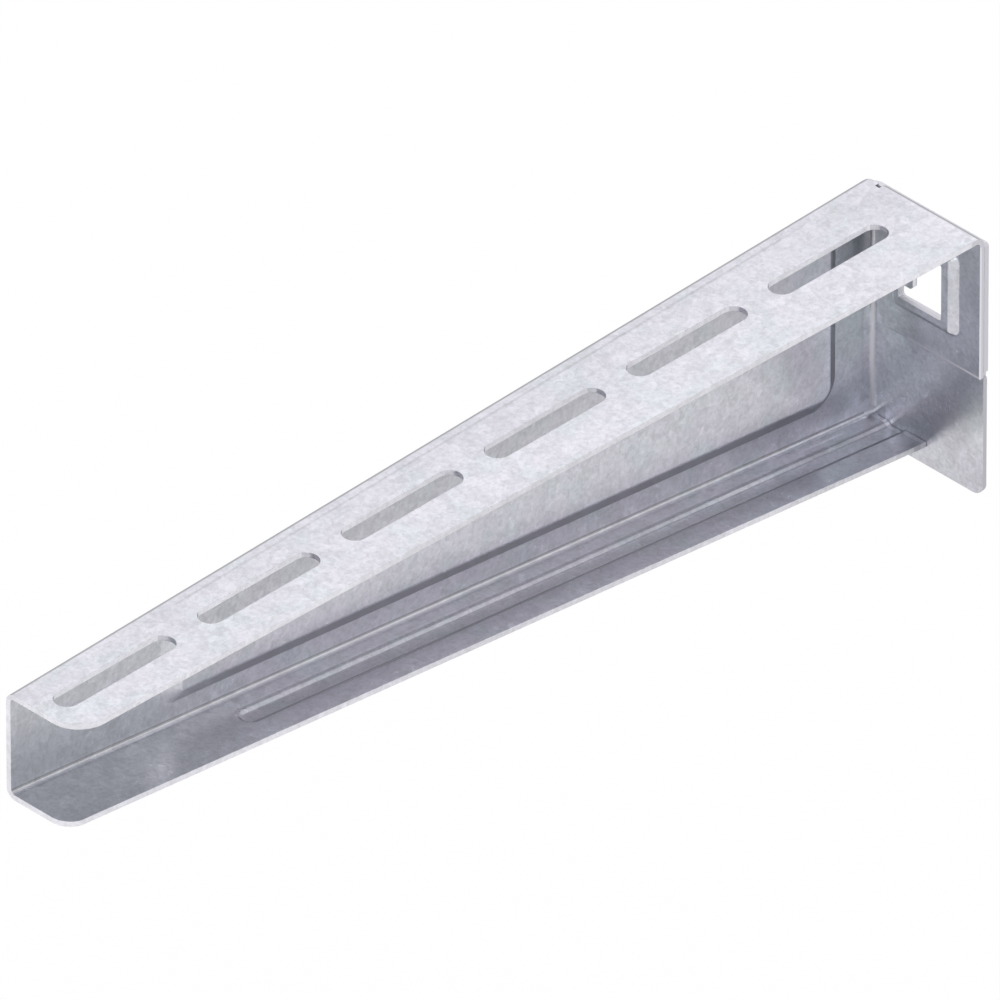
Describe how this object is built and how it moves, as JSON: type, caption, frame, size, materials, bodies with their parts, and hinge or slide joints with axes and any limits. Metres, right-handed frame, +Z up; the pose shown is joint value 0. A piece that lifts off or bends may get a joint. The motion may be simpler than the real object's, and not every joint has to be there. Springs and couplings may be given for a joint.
{
  "type": "cantilever strut arm",
  "caption": "Tapered cantilever arm folded from one galvanised sheet: slotted top flange, embossed web, ribbed foot flange and a wall plate with a boxed window.",
  "frame": {"origin": "on the wall face of the head, half way up it, in line with the row of slots", "axes": "+X from the wall out to the nose, +Y towards the open side of the channel, +Z up to the slotted top flange"},
  "size_m": [0.3114, 0.0403, 0.08],
  "materials": {
    "galvanised_steel": "galvanised, satin with a faint mottle"
  },
  "bodies": {
    "root": {"strut_arm": "galvanised_steel"}
  },
  "joints": []
}
